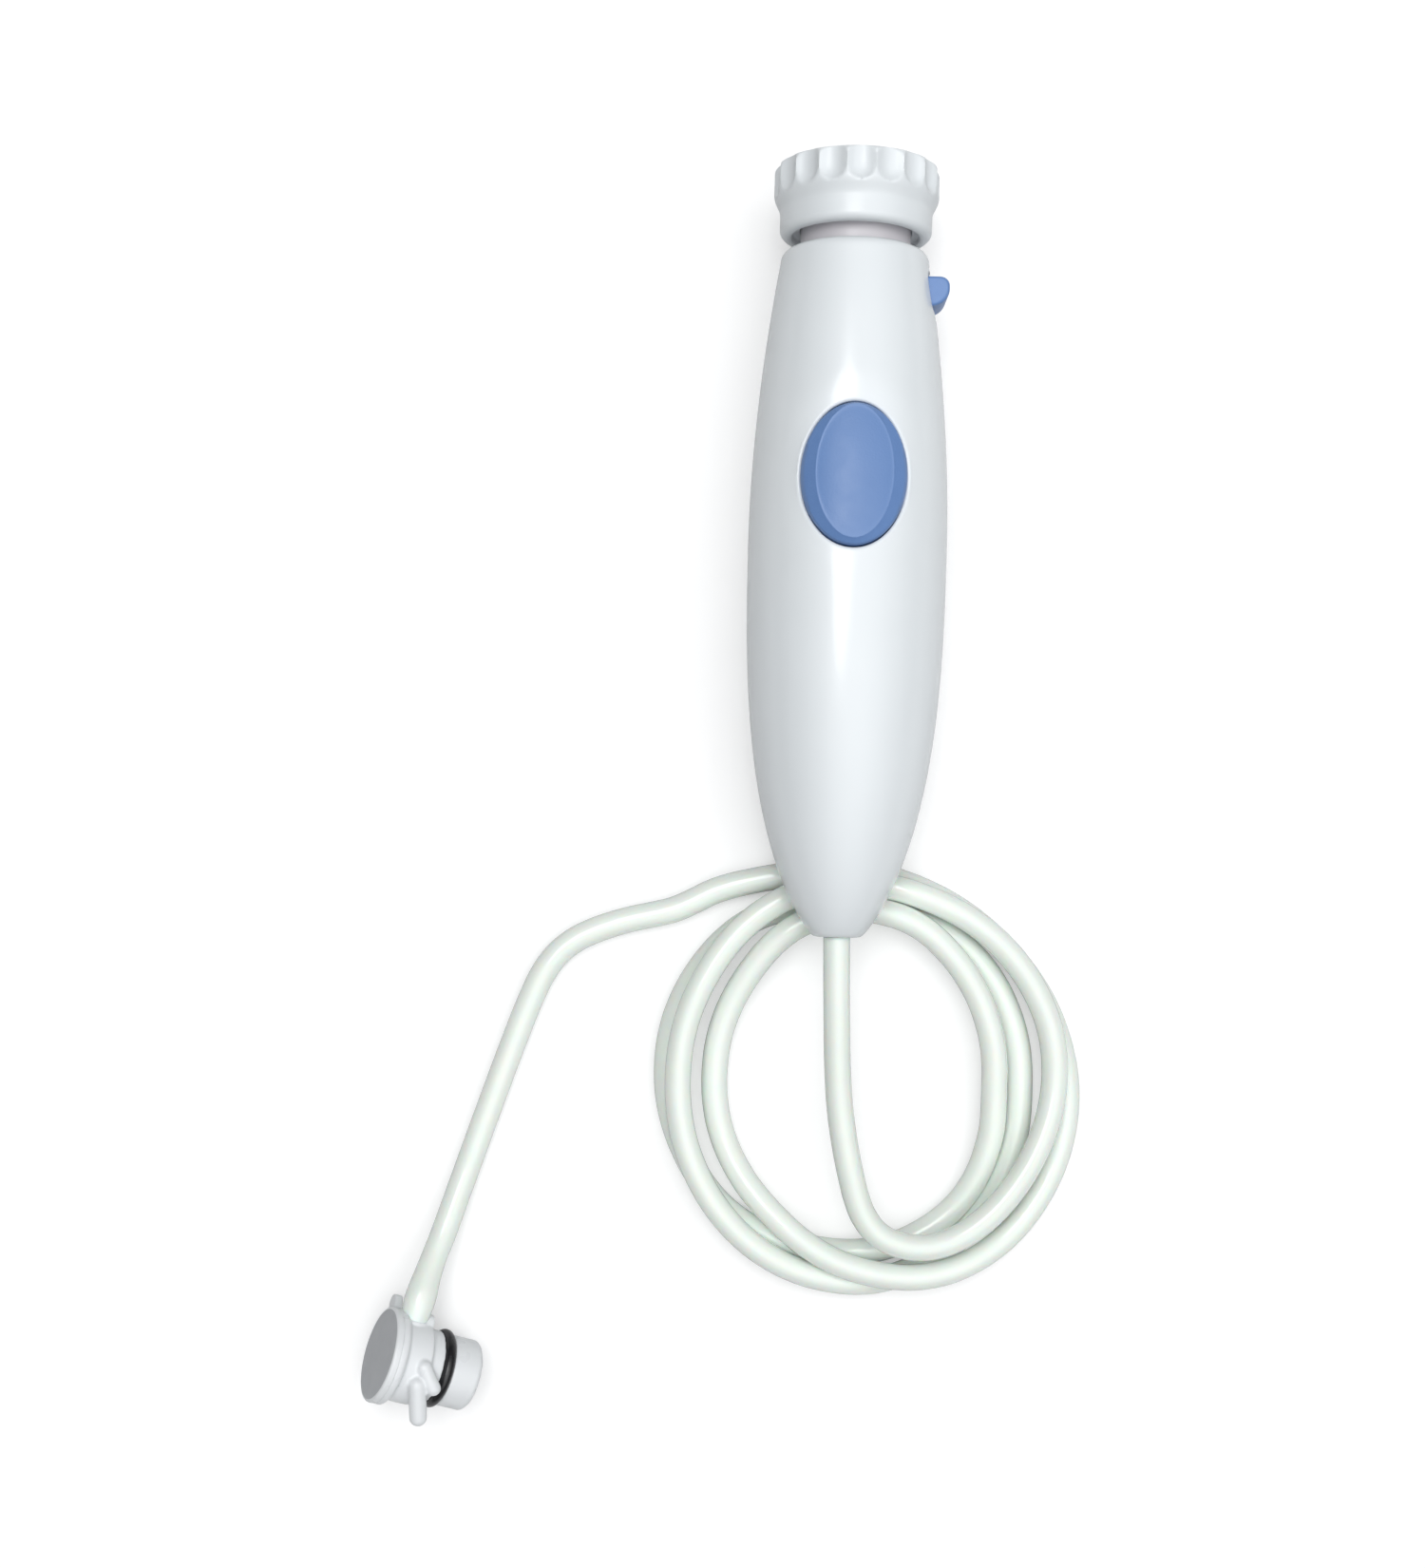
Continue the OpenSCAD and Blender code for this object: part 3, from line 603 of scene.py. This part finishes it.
def add_pause_button():
    """The oval button: face, raised rim, band down to the casing, flange and hollow."""
    sides = 120
    turns = [2 * math.pi * k / sides for k in range(sides)]
    rings = []

    def face_ring(share):
        return [(FACE_HALF[0] * share * math.cos(p), FACE_SHIFT + FACE_HALF[1] * share * math.sin(p))
                for p in turns]

    def band_ring(t):
        inner = face_ring(1)
        return [(a + (PAUSE_HALF[0] * math.cos(p) - a) * t, b + (PAUSE_HALF[1] * math.sin(p) - b) * t)
                for (a, b), p in zip(inner, turns)]

    for share in (0.08, 0.25, 0.45, 0.65, 0.8, 0.9, 0.95):
        rings.append([(x, v, crown(x, v)) for x, v in face_ring(share)])
    for share, lift in ((0.975, 0.03), (0.99, 0.07)):
        rings.append([(x, v, crown(x, v) + lift) for x, v in face_ring(share)])
    for t, lift in ((0.0, 0.07), (0.06, 0.0), (0.16, -0.09), (0.4, -0.27), (0.7, -0.47), (0.86, -0.6)):
        rings.append([(x, v, crown(x, v) + lift) for x, v in band_ring(t)])
    for inset, drop in ((0.3, 0.72), (0.12, 0.85), (0.0, 1.15)):
        rim = [((PAUSE_HALF[0] - inset) * math.cos(p), (PAUSE_HALF[1] - inset) * math.sin(p))
               for p in turns]
        rings.append([(x, v, crown(x, v) - drop) for x, v in rim])
    for grow, z in ((0, PAUSE_FLANGE_Z + 1.1), (PAUSE_FLANGE, PAUSE_FLANGE_Z + 1.1),
                    (PAUSE_FLANGE, PAUSE_FLANGE_Z), (-PAUSE_SKIRT, PAUSE_FLANGE_Z),
                    (-PAUSE_SKIRT, PAUSE_ROOF_Z), (-6.5, PAUSE_ROOF_Z)):
        rings.append([((PAUSE_HALF[0] + grow) * math.cos(p), (PAUSE_HALF[1] + grow) * math.sin(p), z)
                      for p in turns])
    points = [(x, PAUSE_Y + v, AXIS_Z + z) for ring in rings for x, v, z in ring]
    faces = ring_faces(len(rings), sides, closed=False)
    faces.append(tuple(range(sides)))
    faces.append(tuple(range((len(rings) - 1) * sides, len(rings) * sides)))
    add_piece("pause_face", points, faces, BLUE, "pause", ["pause_button"], crease=45)


# ---------------------------------------------------------------- eject button
EJECT_HALF_H = 4.4
LATCH_Y = 46.4
LATCH_T = 1.6
LATCH_HALF_W = 6.0


def add_eject_button():
    """The key on the casing's side, and the latch plate behind it."""
    outline = ([(9.0, 43.5)] + arc((13.4, 46.6), (3.3, 3.1), -90, 0, 14)
               + arc((15.0, 47.1), (1.7, 1.65), 6, 90, 10) + [(9.0, 48.75)])
    count = len(outline)
    points = [(x, y, AXIS_Z + z) for z in (-EJECT_HALF_H, EJECT_HALF_H) for x, y in outline]
    faces = [tuple(range(count)), tuple(range(count, 2 * count))]
    faces += ring_faces(2, count, closed=False)
    key = add_piece("eject_key", points, faces, BLUE, "eject", ["eject_button"], crease=40)
    soften(key, 0.6, 4, 40)
    add_latch_plate()


def add_latch_plate():
    """Plate with the keyhole slot that holds the jet tip, on the back of the eject key."""
    sides = 48
    slot_r = 3.9
    frame_pts, slot_pts = [], []
    for k in range(sides):
        t = 2 * math.pi * (k + 0.5) / sides
        c, s = math.cos(t), math.sin(t)
        big = 1 / max(abs(c), abs(s))
        frame_pts.append((0.5 + 9.0 * c * big, LATCH_HALF_W * s * big))
        slot_pts.append((0.9 + slot_r * c + (1.2 if c > 0 else 0), slot_r * s))
    points = []
    for y in (LATCH_Y - LATCH_T / 2, LATCH_Y + LATCH_T / 2):
        for ring in (frame_pts, slot_pts):
            points += [(x, y, AXIS_Z + z) for x, z in ring]
    faces = []
    for k in range(sides):
        n = (k + 1) % sides
        loop = [k, sides + k, 3 * sides + k, 2 * sides + k]
        after = [n, sides + n, 3 * sides + n, 2 * sides + n]
        faces += [(loop[i], loop[(i + 1) % 4], after[(i + 1) % 4], after[i]) for i in range(4)]
    add_piece("latch_plate", points, faces, BLUE, "eject", [], crease=30)


def add_spring(node):
    """The CAD's spring as a piece of its own, riding with the handle."""
    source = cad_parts[node]
    piece = bpy.data.objects.new(node.replace("spring", "coil"), source.data.copy())
    bpy.context.scene.collection.objects.link(piece)
    piece.matrix_world = source.matrix_world
    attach(piece, "handle")
    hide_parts(node)
    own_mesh(piece)


# ---------------------------------------------------------------- connector
DISC_POS = (-80.35, -146.05, 12.6)
PLUG_TILT = 22.5
PLUG_HEADING = -17.6
DISC_R = 8.7
# radius of the cap face whose grey is partly painted shade
CAP_SHADED_FACE_R = 8.25
SHELL_VOXEL = 0.22
SHELL_EASE = 0.5
SHELL_EASE_ROUNDS = 7


def connector_matrix():
    """Places the connector's own axes: Z from the disc to the plug, Y along the hose's barb."""
    heading = Matrix.Rotation(math.radians(PLUG_HEADING), 4, "Z")
    tilt = Matrix.Rotation(math.radians(90 + PLUG_TILT), 4, "Y")
    return Matrix.Translation(DISC_POS) @ (heading @ tilt)


def add_connector():
    """The connector's end disc, then its body."""
    profile = ([(0.0, 0.04), (3.0, 0.03), (6.0, 0.0), (DISC_R - 0.75, 0.0)]
               + arc((DISC_R - 0.5, 0.5), (0.5, 0.5), 270, 350, 6)
               + [(DISC_R, 0.6), (DISC_R, 1.2), (0.0, 1.2)])
    sides = 96
    place = connector_matrix()
    points = []
    for r, z in profile:
        for k in range(sides):
            t = 2 * math.pi * k / sides
            points.append(tuple(place @ Vector((r * math.cos(t), r * math.sin(t), z))))
    face = add_piece("connector_face", points, ring_faces(len(profile), sides, closed=False), CAP_GREY_WITH_PAINTED_SHADE,
                     "handle", ["connector_cap"])
    # only the face itself is grey, partly painted shade of a face turned from the light over plastic a
    # little greyer than the body; its rounded edge has the body's white
    face.data.materials.append(CONNECTOR_WHITE)
    away = place.inverted()
    for polygon in face.data.polygons:
        local = away @ (polygon.center / MM)
        if math.hypot(local.x, local.y) > CAP_SHADED_FACE_R:
            polygon.material_index = 1
    add_connector_shell()


def add_connector_shell():
    """The connector's body with a moulding's soft fillets: the CAD solid, remeshed and smoothed."""
    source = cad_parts["connector_body"]
    work = bpy.data.objects.new("connector_work", source.data.copy())
    bpy.context.scene.collection.objects.link(work)
    remesh = work.modifiers.new("remesh", "REMESH")
    remesh.mode = "VOXEL"
    remesh.voxel_size = SHELL_VOXEL * MM
    remesh.adaptivity = 0
    ease = work.modifiers.new("ease", "SMOOTH")
    ease.factor = SHELL_EASE
    ease.iterations = SHELL_EASE_ROUNDS
    bpy.context.view_layer.update()
    smoothed = work.evaluated_get(bpy.context.evaluated_depsgraph_get())
    data = bpy.data.meshes.new_from_object(smoothed)
    data.name = "connector_shell"
    bpy.data.objects.remove(work)
    data.materials.clear()
    data.materials.append(CONNECTOR_WHITE)
    data.shade_smooth()
    shell = bpy.data.objects.new("connector_shell", data)
    bpy.context.scene.collection.objects.link(shell)
    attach(shell, "handle")
    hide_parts("connector_body")


finish_cad_nodes()
hose, HOSE_LENGTH = add_hose(VINYL)
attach(hose, "handle")
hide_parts("hose_tail", "hose_coil", "hose_lead")
add_connector()
add_casing()
add_collar()
add_pause_button()
add_eject_button()
add_spring("pause_spring")
add_spring("eject_spring")


# ---------------------------------------------------------------- floor and light
FLOOR_SIZE = 6
FLOOR_GREY = 0.68
FLOOR_ROUGHNESS = 0.9
FLOOR_SHEEN = 0.1
SOFTBOX_SIZE = (0.5, 0.66)
SOFTBOX_PLACE = (-0.17, 0.27, 1.2)
SOFTBOX_WATTS = 4.1
SKY_AXIS = (0.2, -0.02, 0.98)
SKY_COLOUR = (0.98, 0.99, 1, 1)
BACKDROP_GREY = 0.96
FLOOR_GLOW = 0.36
SKY_TOP = 2.6
SKY_FALLOFF = 4


def add_stage():
    """A sheet of white paper under the object."""
    bpy.ops.mesh.primitive_plane_add(size=FLOOR_SIZE)
    floor = bpy.context.object
    floor.name = "floor"
    material = bpy.data.materials.new("floor_paper")
    material.use_nodes = True
    tree = material.node_tree
    shader = tree.nodes["Principled BSDF"]
    shader.inputs["Base Color"].default_value = (FLOOR_GREY, FLOOR_GREY, FLOOR_GREY, 1)
    shader.inputs["Roughness"].default_value = FLOOR_ROUGHNESS
    shader.inputs["Specular IOR Level"].default_value = FLOOR_SHEEN
    shader.inputs["Emission Color"].default_value = (1, 1, 1, 1)
    # only the camera sees this glow: the paper looks white without lighting the casing's sides that much
    seen = tree.nodes.new("ShaderNodeLightPath")
    glow = tree.nodes.new("ShaderNodeMath")
    glow.operation = "MULTIPLY"
    glow.inputs[1].default_value = FLOOR_GLOW
    tree.links.new(seen.outputs["Is Camera Ray"], glow.inputs[0])
    tree.links.new(glow.outputs["Value"], shader.inputs["Emission Strength"])
    floor.data.materials.append(material)


def add_light():
    """A pale sky and one soft box."""
    world = bpy.data.worlds.new("studio")
    bpy.context.scene.world = world
    world.use_nodes = True
    tree = world.node_tree
    sky = tree.nodes["Background"]
    sky.inputs["Color"].default_value = SKY_COLOUR
    # bright overhead and a little to the right, dim at the horizon, so that sides are darker than tops
    where = tree.nodes.new("ShaderNodeTexCoord")
    toward = tree.nodes.new("ShaderNodeVectorMath")
    toward.operation = "DOT_PRODUCT"
    toward.inputs[1].default_value = SKY_AXIS
    falloff = tree.nodes.new("ShaderNodeMath")
    falloff.operation = "POWER"
    falloff.use_clamp = True
    falloff.inputs[1].default_value = SKY_FALLOFF
    level = tree.nodes.new("ShaderNodeMath")
    level.operation = "MULTIPLY"
    level.inputs[1].default_value = SKY_TOP
    tree.links.new(where.outputs["Generated"], toward.inputs[0])
    tree.links.new(toward.outputs["Value"], falloff.inputs[0])
    tree.links.new(falloff.outputs["Value"], level.inputs[0])
    tree.links.new(level.outputs["Value"], sky.inputs["Strength"])
    # only the camera sees this backdrop, which is plain pale paper too
    paper = tree.nodes.new("ShaderNodeBackground")
    paper.inputs["Color"].default_value = (BACKDROP_GREY, BACKDROP_GREY, BACKDROP_GREY, 1)
    seen = tree.nodes.new("ShaderNodeLightPath")
    choice = tree.nodes.new("ShaderNodeMixShader")
    tree.links.new(seen.outputs["Is Camera Ray"], choice.inputs["Fac"])
    tree.links.new(sky.outputs["Background"], choice.inputs[1])
    tree.links.new(paper.outputs["Background"], choice.inputs[2])
    tree.links.new(choice.outputs["Shader"], tree.nodes["World Output"].inputs["Surface"])
    softbox = bpy.data.lights.new("softbox", "AREA")
    softbox.shape = "ELLIPSE"
    softbox.size, softbox.size_y = SOFTBOX_SIZE
    softbox.energy = SOFTBOX_WATTS
    lamp = bpy.data.objects.new("softbox", softbox)
    lamp.location = SOFTBOX_PLACE
    bpy.context.scene.collection.objects.link(lamp)
    bpy.context.scene.view_settings.view_transform = "Standard"


add_stage()
add_light()
